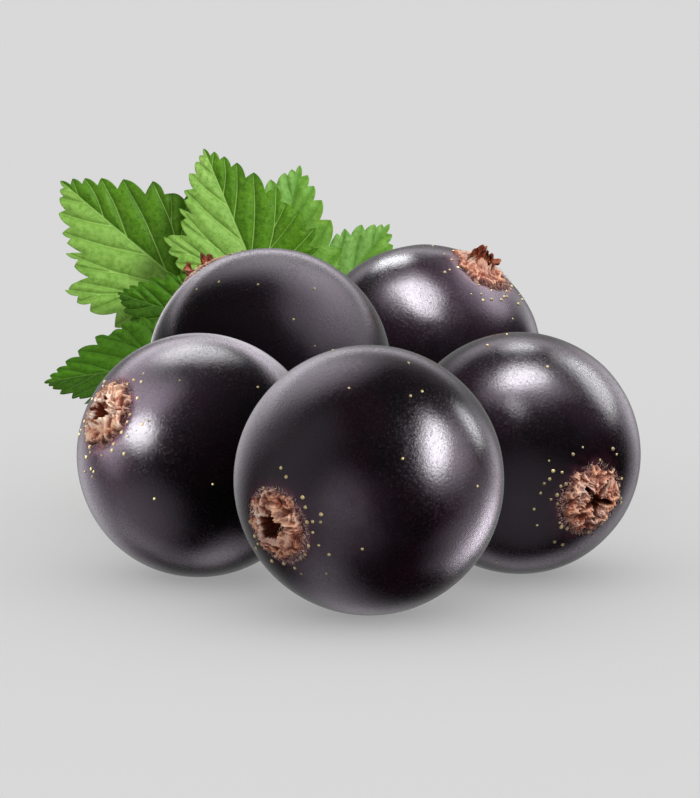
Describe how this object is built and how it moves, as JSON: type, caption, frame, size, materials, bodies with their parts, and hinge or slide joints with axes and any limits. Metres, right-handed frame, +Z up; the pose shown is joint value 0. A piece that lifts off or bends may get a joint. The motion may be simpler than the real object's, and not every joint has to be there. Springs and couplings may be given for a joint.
{
  "type": "blackcurrant sprig",
  "caption": "Cut blackcurrant sprig lying down: round dark berries with dried calyxes on a green strig, young lobed leaves standing behind them on a woody spur.",
  "frame": {"origin": "middle of the outline on the ground, on the surface the sprig lies on", "axes": "+Z up, +Y from the frontmost berry back along the strig to the spur, +X to the right"},
  "size_m": [0.0302, 0.0466, 0.0188],
  "materials": {
    "skin": "waxy fruit skin, near-black purple with a grey bloom, satin",
    "calyx": "dry crumpled sepals, tan to red-brown, matt",
    "strig": "fresh green stalk, satin",
    "bark": "thin grey-brown bark, matt",
    "leaf": "fresh green leaf, soft satin"
  },
  "bodies": {
    "root": {"berry_front": "skin", "berry_left": "skin", "berry_right": "skin", "berry_back_left": "skin", "berry_back_right": "skin", "calyx_front": "calyx", "calyx_left": "calyx", "calyx_right": "calyx", "calyx_back_left": "calyx", "calyx_back_right": "calyx", "strig": "strig", "spur": "bark", "leaf_left": "leaf", "leaf_top": "leaf", "leaf_behind": "leaf", "leaf_right": "leaf", "leaf_low": "leaf", "leaf_inner": "leaf"}
  },
  "joints": []
}
